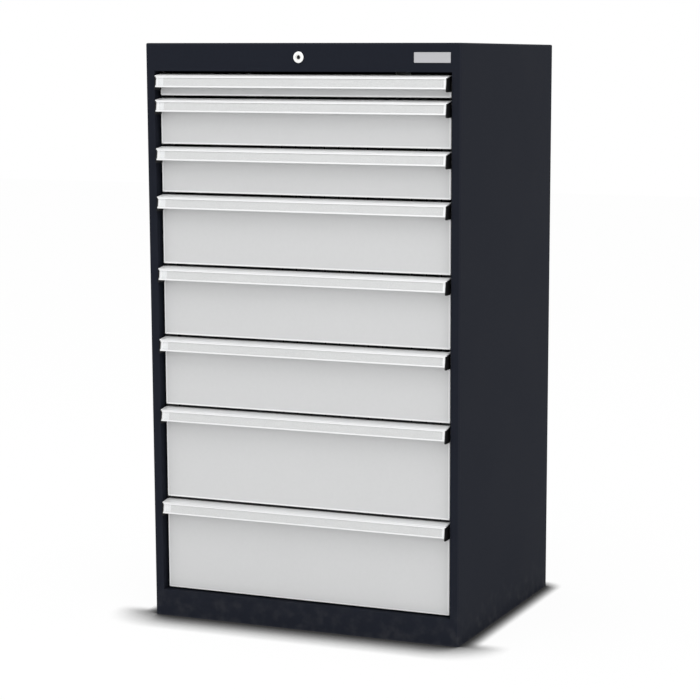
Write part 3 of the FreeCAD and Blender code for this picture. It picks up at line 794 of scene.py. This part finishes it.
@dataclass
class CabinetBody:
    """The painted shell with its plated inside, rear fasteners and bare name plate."""

    shop: Workshop
    coat: Colour = (0.0152, 0.0174, 0.0250)
    # Painted highlight: the shell's folds are painted a lighter blue-grey than its coat.
    fold_highlight_coat: Colour = (0.024, 0.026, 0.034)
    plate_width: float = 0.0775
    plate_height: float = 0.0205
    plate_inset: float = 0.0219
    plate_thickness: float = 0.0013
    plate_rim: float = 0.0009
    plate_rim_height: float = 0.0003
    plate_corner: float = 0.0015
    plate_corner_least: float = 0.0004
    plate_chamfer: float = 0.0003
    rivet_inset: float = 0.0110
    rivet_rows: int = 11
    top_rivets: int = 7
    base_rivets: int = 8
    base_rivet_level: float = 0.040
    base_rivet_margin: float = 0.06
    rivet_margin: float = 0.05
    rivet_overlap: float = 0.01
    lip_drop: float = 0.0135

    SHELL = ("side_panel_left", "side_panel_right", "top_panel", "back_panel", "base_panel")
    BODY = "cabinet"

    def build(self) -> None:
        """Dresses the shell and adds its pieces."""
        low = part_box("side_panel_left")[0]
        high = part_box("top_panel")[1]
        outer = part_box("side_panel_right")[1]
        envelope = EdgeBox.around(low, Vector((outer.x, outer.y, high.z)), 0.004)
        # The shell's coat has a painted highlight on its folds and a lighter film near the floor,
        # partly dust and partly painted floor reflection.
        paint = PowderCoat("shell_powder_coat", self.coat, 0.6, sheen=0.02, mottling=0.10,
                           folds=envelope, fold_highlight_colour=self.fold_highlight_coat, fold_highlight_strength=0.6,
                           dust_and_reflection_height=0.10)
        for node in self.SHELL:
            self.shop.dress(node, paint)
        self.shop.dress("slotted_uprights", self.shop.ZINC)
        self.shop.dress("outer_rails", self.shop.ZINC)
        self.rear_rivets(paint)
        self.name_plate()

    def rear_rivets(self, paint: Finish) -> None:
        """Painted blind rivets along the rear returns, the top's lip and the base."""
        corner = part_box("side_panel_right")[1]
        top_low, top_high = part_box("top_panel")
        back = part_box("back_panel")[1]
        x = corner.x - self.rivet_inset
        lip_level = top_high.z - self.lip_drop
        highest = top_low.z + self.rivet_overlap
        top_reach = x - self.rivet_margin
        base_reach = x - self.base_rivet_margin
        spots = [Spot((side * x, corner.y, level), BACKWARDS)
                 for side in (-1, 1)
                 for level in row(self.rivet_margin, highest, self.rivet_rows)]
        spots += [Spot((place, top_high.y, lip_level), BACKWARDS)
                  for place in row(-top_reach, top_reach, self.top_rivets)]
        spots += [Spot((place, back.y, self.base_rivet_level), BACKWARDS)
                  for place in row(-base_reach, base_reach, self.base_rivets)]
        rivets = Fasteners(Head.RIVET, radius=0.0033, height=0.0009, finish=paint)
        self.shop.report(rivets.place("rear_rivets", spots, self.BODY, "body_paint"))

    def name_plate(self) -> None:
        """A bare plate with a raised rim, level with the lock at the fascia's right end."""
        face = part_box("base_panel")[0].y
        lock_low, lock_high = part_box("lock_plug")
        centre_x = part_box("top_panel")[1].x - self.plate_inset - self.plate_width / 2
        centre_z = (lock_low.z + lock_high.z) / 2
        half_w, half_h = self.plate_width / 2, self.plate_height / 2
        rim, step = self.plate_rim, self.plate_rim_height
        chamfer = self.plate_chamfer
        rings = []
        for inset, depth in ((0.0, 0.0), (0.0, self.plate_thickness - chamfer),
                             (chamfer, self.plate_thickness), (rim, self.plate_thickness),
                             (rim + chamfer, self.plate_thickness - step)):
            outline = rounded_outline(half_w - inset, half_h - inset,
                                      max(self.plate_corner - inset, self.plate_corner_least))
            rings.append([Vector((centre_x + x, face - depth, centre_z + z)) for x, z in outline])
        low = Vector((centre_x - half_w, face - 0.1, centre_z - half_h))
        high = Vector((centre_x + half_w, face + 0.1, centre_z + half_h))
        finish = LacqueredPlate("name_plate_lacquer", (0.48, 0.48, 0.50), 0.35,
                                rim=EdgeBox.around(low, high, rim * 2))
        plate = new_piece("name_plate", loft("name_plate", rings), finish.material())
        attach(plate, self.BODY)
        self.shop.report(plate)


@dataclass
class CentralLock:
    """The key lock in the fascia, its shaft to the back and the rising bar."""

    shop: Workshop
    core_dark_radius: float = 0.0041
    shutter_width: float = 0.0023
    shutter_height: float = 0.0082
    shutter_depth: float = 0.0030
    shutter_thickness: float = 0.0012
    shutter_chamfer: float = 0.0003
    shutter_corner: float = 0.0004
    guide_screw_side: float = 0.0203
    guide_screw_drop: float = 0.025

    def build(self) -> None:
        """Dresses the lock and adds the shutter and its fasteners."""
        low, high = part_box("lock_housing")
        level = (low.z + high.z) / 2
        nickel = TurnedNickel("nickel_ring", (0.86, 0.86, 0.85), roughness=0.22,
                              axis_height=level)
        core = TurnedNickel("nickel_plug", (0.80, 0.79, 0.76), roughness=0.28,
                            axis_height=level, ring_pitch=0.0003,
                            dark_radius=self.core_dark_radius)
        self.shop.dress("lock_housing", nickel)
        self.shop.dress("lock_plug", core)
        for node in ("lock_shaft", "lock_bar", "lock_brackets"):
            self.shop.dress(node, self.shop.ZINC)
        self.shutter(level)
        self.guide_screws()

    def shutter(self, level: float) -> None:
        """The sprung shutter a little way into the keyway, level with the lock's axis."""
        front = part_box("lock_plug")[0].y + self.shutter_depth
        chamfer = self.shutter_chamfer
        rings = []
        for inset, depth in ((0.0, self.shutter_thickness), (0.0, chamfer), (chamfer, 0.0)):
            outline = rounded_outline(self.shutter_width / 2 - inset,
                                      self.shutter_height / 2 - inset,
                                      self.shutter_corner, steps=3)
            rings.append([Vector((x, front + depth, level + z)) for x, z in outline])
        dark = MouldedPlastic("shutter_steel", (0.03, 0.03, 0.032), roughness=0.45)
        piece = new_piece("keyway_shutter", loft("keyway_shutter", rings), dark.material())
        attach(piece, "key_works")
        self.shop.report(piece)

    def guide_screws(self) -> None:
        """Screws that hold the bar's guides, seen on the back panel."""
        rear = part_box("back_panel")[1].y
        spots = []
        for number in range(2, 9):
            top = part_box(f"drawer_{number}_front")[1].z + HALF_GAP
            level = top - self.guide_screw_drop
            spots += [Spot((side * self.guide_screw_side, rear, level), BACKWARDS)
                      for side in (-1, 1)]
        screws = Fasteners(Head.CROSS, radius=0.0030, height=0.0014, finish=self.shop.ZINC)
        self.shop.report(screws.place("guide_screws", spots, "cabinet", "zinc_steel"))


@dataclass
class Drawer:
    """One drawer: painted front, aluminium grip with its label, tray and inner rails."""

    shop: Workshop
    number: int
    coat: Colour = (0.660, 0.664, 0.667)
    # Painted highlight: the front's folds are painted near white, as rims that catch the light.
    fold_highlight_coat: Colour = (0.96, 0.965, 0.97)
    tray_coat: Colour = (0.58, 0.585, 0.59)
    grip_colour: Colour = (0.87, 0.875, 0.88)
    face_reach: float = 0.0227
    face_drop: float = 0.00365
    face_height: float = 0.0243
    face_lean: float = 8.5
    channel_head: float = 0.0028
    channel_margin: float = 0.0016
    channel_depth: float = 0.0016
    lip_thickness: float = 0.0007
    card_thickness: float = 0.00025
    cover_thickness: float = 0.0004
    cover_bow: float = 0.0005
    cap_thickness: float = 0.0022
    end_gap: float = 0.0055
    card_start: float = 0.0123
    sheet: float = 0.001
    divider_pitch: float = 0.036
    channel_play: float = 0.0002
    strip_play: float = 0.00005
    strip_taper: float = 0.0006
    strip_shrink: float = 0.92
    bow_start: float = 0.45
    screw_rise: float = 0.0108
    screw_drop: float = 0.0035
    screw_reach: float = 0.27
    screw_count: int = 5

    RIVET_STEPS = (-6.5, -3.5, -0.5, 3.5, 6.5)

    @property
    def body(self) -> str:
        """The body that the drawer's pieces ride on."""
        return f"drawer_{self.number}"

    def node(self, part: str) -> str:
        """The name of one of the drawer's nodes."""
        return f"drawer_{self.number}_{part}"

    def build(self) -> None:
        """Dresses the drawer and adds its pieces."""
        low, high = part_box(self.node("front"))
        outline = EdgeBox.around(low, high, 0.0052)
        # The front's coat has a painted highlight on its folds and painted shade in its gaps.
        paint = PowderCoat(f"front_powder_coat_{self.number}", self.coat, 0.45, sheen=0.3,
                           mottling=0.03, folds=outline, fold_highlight_colour=self.fold_highlight_coat,
                           fold_highlight_strength=0.85, crevice_shade_distance=0.012)
        inside = PowderCoat("tray_powder_coat", self.tray_coat, 0.5, sheen=0.3, mottling=0.05)
        grip = DrawnAluminium("drawn_grip", self.grip_colour, 0.42)
        self.shop.dress(self.node("front"), paint)
        self.shop.dress(self.node("tray"), inside)
        self.shop.dress(self.node("handle"), grip)
        self.shop.dress(self.node("handle_caps"), self.shop.PLASTIC)
        self.shop.dress(self.node("inner_rails"), self.shop.ZINC)
        self.label()
        self.screws()
        self.rivets()

    def face_point(self, along: float, inward: float) -> tuple[float, float]:
        """A point of the grip's face in the YZ plane.

        Args:
            along: distance down the face from its upper corner.
            inward: distance in from its surface.

        Returns:
            The point's y and z.
        """
        low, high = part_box(self.node("handle"))
        lean = math.radians(self.face_lean)
        reach = self.face_reach + along * math.sin(lean) - inward * math.cos(lean)
        drop = self.face_drop + along * math.cos(lean) + inward * math.sin(lean)
        return high.y - reach, high.z - drop

    def strip(self, name: str, front: Callable[[float], float], thickness: float,
              finish: Finish, start_gap: float = 0.0) -> None:
        """A thin strip along the label channel.

        Args:
            name: the piece's name.
            front: how deep the strip's front lies at a share of its height.
            thickness: the strip's thickness.
            finish: what it is made of.
            start_gap: how much later the strip starts at its left end.
        """
        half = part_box(self.node("handle"))[1].x - self.cap_thickness - self.end_gap
        left = start_gap - half
        start = self.channel_head + self.channel_play
        end = self.face_height - self.channel_margin - self.channel_play
        shares = row(0.0, 1.0, 9)
        section = [self.face_point(start + (end - start) * share, front(share))
                   for share in shares]
        section += [self.face_point(start + (end - start) * share, front(share) + thickness)
                    for share in reversed(shares)]
        middle_y = sum(y for y, _ in section) / len(section)
        middle_z = sum(z for _, z in section) / len(section)
        ends = ((left, self.strip_shrink), (left + self.strip_taper, 1.0),
                (half - self.strip_taper, 1.0), (half, self.strip_shrink))
        rings = []
        for x, shrink in ends:
            rings.append([Vector((x, middle_y + (y - middle_y) * shrink,
                                  middle_z + (z - middle_z) * shrink)) for y, z in section])
        piece = new_piece(name, loft(name, rings), finish.material())
        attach(piece, self.body)
        self.shop.report(piece)

    def label(self) -> None:
        """The blank label card and the clear cover over it."""
        card = CardStock("label_card", (0.68, 0.68, 0.675), roughness=0.85)
        clear = ClearPlastic("label_cover", (0.90, 0.92, 0.93), roughness=0.16)
        back = self.channel_depth - self.card_thickness - self.strip_play
        self.strip(self.node("label"), lambda share: back, self.card_thickness, card,
                   start_gap=self.card_start)
        self.strip(self.node("label_cover"), self.cover_front, self.cover_thickness, clear)

    def cover_front(self, share: float) -> float:
        """How deep the bowed cover's front lies at a share of its height."""
        bow = max(0.0, math.sin(math.pi * share) - self.bow_start)
        return self.lip_thickness + self.strip_play - self.cover_bow * bow

    def screws(self) -> None:
        """Screws through the tray's front wall into the front's flanges."""
        front_low, front_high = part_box(self.node("front"))
        tray_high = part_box(self.node("tray"))[1]
        wall = front_high.y + self.sheet
        lower = front_low.z - HALF_GAP + self.screw_rise
        upper = tray_high.z - self.screw_drop
        places = row(-self.screw_reach, self.screw_reach, self.screw_count)
        spots = [Spot((x, wall, lower), BACKWARDS) for x in places]
        spots += [Spot((x, wall + self.sheet, upper), BACKWARDS) for x in places]
        heads = Fasteners(Head.CROSS, radius=0.0029, height=0.0016,
                          finish=self.shop.ZINC, seed=self.number)
        self.shop.report(heads.place(self.node("screws"), spots, self.body, "zinc_steel"))

    def rivets(self) -> None:
        """Rivets that hold the inner rails, between the divider slots of the tray's sides."""
        tray_low, tray_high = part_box(self.node("tray"))
        rail_low, rail_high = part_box(self.node("inner_rails"))
        level = (rail_low.z + rail_high.z) / 2
        middle = (rail_high.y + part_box(self.node("front"))[1].y) / 2
        x = tray_high.x - self.sheet
        spots = [Spot((side * x, middle + step * self.divider_pitch, level), (-side, 0.0, 0.0))
                 for side in (-1, 1) for step in self.RIVET_STEPS]
        heads = Fasteners(Head.RIVET, radius=0.0030, height=0.0008,
                          finish=self.shop.ZINC, seed=self.number)
        self.shop.report(heads.place(self.node("rail_rivets"), spots, self.body, "zinc_steel"))


@dataclass
class Runner:
    """The rolling mid rails of one drawer."""

    shop: Workshop
    number: int
    bar_thickness: float = 0.002
    roller_end: float = 0.020
    roller_span: float = 0.190
    half_rollers: float = 0.0053
    stub_end: float = 0.0003

    def build(self) -> None:
        """Dresses the mid rails and adds the heads of their axle rivets."""
        name = f"drawer_{self.number}_mid_rails"
        low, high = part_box(name)
        self.shop.dress(name, self.shop.ZINC)
        level = (low.z + high.z) / 2
        half_stack = self.half_rollers + self.bar_thickness / 2
        middle = high.x - half_stack + self.stub_end
        spots = []
        for side in (-1, 1):
            inner = middle - self.bar_thickness / 2
            outer = middle + self.bar_thickness / 2
            for y in (high.y - self.roller_end, high.y - self.roller_end - self.roller_span):
                spots.append(Spot((side * inner, y, level), (-side, 0.0, 0.0)))
            for y in (low.y + self.roller_end, low.y + self.roller_end + self.roller_span):
                spots.append(Spot((side * outer, y, level), (side, 0.0, 0.0)))
        heads = Fasteners(Head.RIVET, radius=0.0035, height=0.0009,
                          finish=self.shop.ZINC, seed=self.number)
        piece = heads.place(f"runner_{self.number}_axle_heads", spots,
                            f"runner_{self.number}", "zinc_steel")
        self.shop.report(piece)


# ---------------------------------------------------------------- studio


@dataclass(frozen=True)
class Studio:
    """The pale floor, the white surroundings, the soft lamps and the camera."""

    camera_place: Triple = (1.8458, -4.1878, 1.1843)
    camera_yaw: float = 21.914
    camera_pitch: float = 9.404
    camera_roll: float = 0.126
    focal_pixels: float = 2115.5
    principal_x: float = 424.1
    principal_y: float = 410.1
    sensor: float = 36.0
    floor_half: float = 14.0
    sky: float = 0.83
    # Reaches of the contact shadow painted into the floor's glow.
    front_shadow_reach: float = 0.108
    side_shadow_reach: float = 0.040
    contact_power: float = 2.7
    front_blend: float = 0.05
    bounce: float = 0.86
    glow: float = 0.94
    backdrop: float = 0.06

    WHITE: ClassVar[Colour] = (1.0, 1.0, 1.0)
    LAMPS = (
        ("softbox_overhead", (0.0, -0.9, 3.9), (0.0, 0.0, 0.6), 4.0, 58.0),
        ("softbox_right", (3.9, -3.6, 2.0), (0.0, 0.0, 0.7), 2.6, 12.0),
        ("softbox_front", (-1.2, -5.6, 2.2), (0.0, 0.0, 0.6), 2.6, 14.0))

    def build(self) -> None:
        """Makes the whole studio."""
        self.world()
        self.floor()
        for lamp in self.LAMPS:
            self.lamp(*lamp)
        self.camera()

    @staticmethod
    def seen(graph: Graph) -> Wire:
        """1 for rays that look at the background: from the camera, in gloss, through glass."""
        camera = graph.node("ShaderNodeLightPath", {}, {}, "Is Camera Ray")
        gloss, through = camera.output("Is Glossy Ray"), camera.output("Is Transmission Ray")
        return (camera + gloss + through).least(1.0)

    def world(self) -> None:
        """Even light from all round, and plain white where it is seen."""
        world = bpy.data.worlds.new("studio")
        bpy.context.scene.world = world
        world.use_nodes = True
        graph = Graph(world.node_tree)
        strength = self.sky + (1.0 - self.sky) * self.seen(graph)
        light = graph.node("ShaderNodeBackground", {}, {
            "Color": self.WHITE, "Strength": strength})
        graph.node("ShaderNodeOutputWorld", {}, {"Surface": light})

    def floor(self) -> None:
        """A wide pale floor: a white glow with the object's contact shadow painted in, over a
        faint real shade.
        """
        half = self.floor_half
        mesh = bpy.data.meshes.new("floor")
        mesh.from_pydata([(-half, -half, 0), (half, -half, 0), (half, half, 0), (-half, half, 0)],
                         [], [(0, 1, 2, 3)])
        material = bpy.data.materials.new("studio_floor")
        material.use_nodes = True
        graph = Graph(material.node_tree)
        bounce = graph.node("ShaderNodeBsdfDiffuse", {}, {"Color": (self.bounce,) * 3})
        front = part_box("base_panel")[0].y
        # Painted shadow: the glow fades by ambient occlusion, further out in front of the cabinet
        # than at its sides.
        ahead = graph.place().axes()[1].fall(front, front + self.front_blend)
        openness = self.open_floor(graph, self.side_shadow_reach) * (1 - ahead)
        openness = openness + self.open_floor(graph, self.front_shadow_reach) * ahead
        glow = graph.node("ShaderNodeEmission", {}, {
            "Color": self.WHITE, "Strength": self.glow * openness})
        shade = graph.node("ShaderNodeBsdfDiffuse", {}, {"Color": (self.backdrop,) * 3})
        backdrop = graph.node("ShaderNodeAddShader", {}, {0: glow, 1: shade})
        seen = self.seen(graph)
        mixed = graph.node("ShaderNodeMixShader", {}, {0: seen, 1: bounce, 2: backdrop})
        graph.node("ShaderNodeOutputMaterial", {}, {"Surface": mixed})
        new_piece("floor", mesh, material)

    def open_floor(self, graph: Graph, reach: float) -> Wire:
        """How open the floor is, from 0 under the object to 1 out of its reach; it paints the
        contact shadow.
        """
        sky = graph.node("ShaderNodeAmbientOcclusion", {"samples": 16}, {"Distance": reach}, "AO")
        return ((sky - 0.5) * 2.0).most(0.0) ** self.contact_power

    @staticmethod
    def lamp(name: str, place: Sequence[float], target: Sequence[float], size: float,
             power: float) -> None:
        """A square soft lamp.

        Args:
            name: the lamp's name.
            place: where it hangs.
            target: the point it faces.
            size: its side in metres.
            power: its power in watts.
        """
        light = bpy.data.lights.new(name, "AREA")
        light.shape = "SQUARE"
        light.size = size
        light.energy = power
        lamp = bpy.data.objects.new(name, light)
        lamp.location = place
        aim = Vector(target) - Vector(place)
        lamp.rotation_euler = aim.to_track_quat("-Z", "Y").to_euler()
        bpy.context.scene.collection.objects.link(lamp)

    def camera(self) -> None:
        """The camera, with the lens and the small shift of its frame."""
        yaw, pitch, roll = (math.radians(angle) for angle in
                            (self.camera_yaw, self.camera_pitch, self.camera_roll))
        right = Vector((math.cos(yaw), math.sin(yaw), 0.0))
        ahead = Vector((-math.sin(yaw) * math.cos(pitch), math.cos(yaw) * math.cos(pitch),
                        -math.sin(pitch)))
        up = right.cross(ahead)
        side = right * math.cos(roll) + up * math.sin(roll)
        top = up * math.cos(roll) - right * math.sin(roll)
        turn = Matrix((side, top, -ahead)).transposed().to_4x4()
        lens = bpy.data.cameras.new("camera")
        lens.sensor_width = self.sensor
        lens.lens = self.focal_pixels * self.sensor / PICTURE_WIDTH
        lens.shift_x = (PICTURE_WIDTH / 2 - self.principal_x) / PICTURE_WIDTH
        lens.shift_y = (self.principal_y - PICTURE_WIDTH / 2) / PICTURE_WIDTH
        lens.clip_end = 100.0
        camera = bpy.data.objects.new("camera", lens)
        camera.matrix_world = Matrix.Translation(self.camera_place) @ turn
        bpy.context.scene.collection.objects.link(camera)
        bpy.context.scene.camera = camera


def corners(bounds: Sequence[Sequence[float]]) -> list[list[float]]:
    """A box's corners as plain lists."""
    return [[float(part) for part in corner] for corner in bounds]


def main() -> None:
    """Loads the frame and builds the studio and every sub-assembly in order."""
    logging.basicConfig(level=logging.INFO, format="%(name)s: %(message)s", stream=sys.stdout)
    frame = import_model()
    bpy.context.scene.view_settings.view_transform = "Standard"
    Studio().build()
    shop = Workshop(frame["nodes"])
    CabinetBody(shop).build()
    CentralLock(shop).build()
    for number in range(1, 9):
        Drawer(shop, number).build()
        Runner(shop, number).build()
    LOG.info("%d pieces added to %d nodes", len(shop.pieces), len(shop.nodes))


if __name__ == "__main__":
    main()
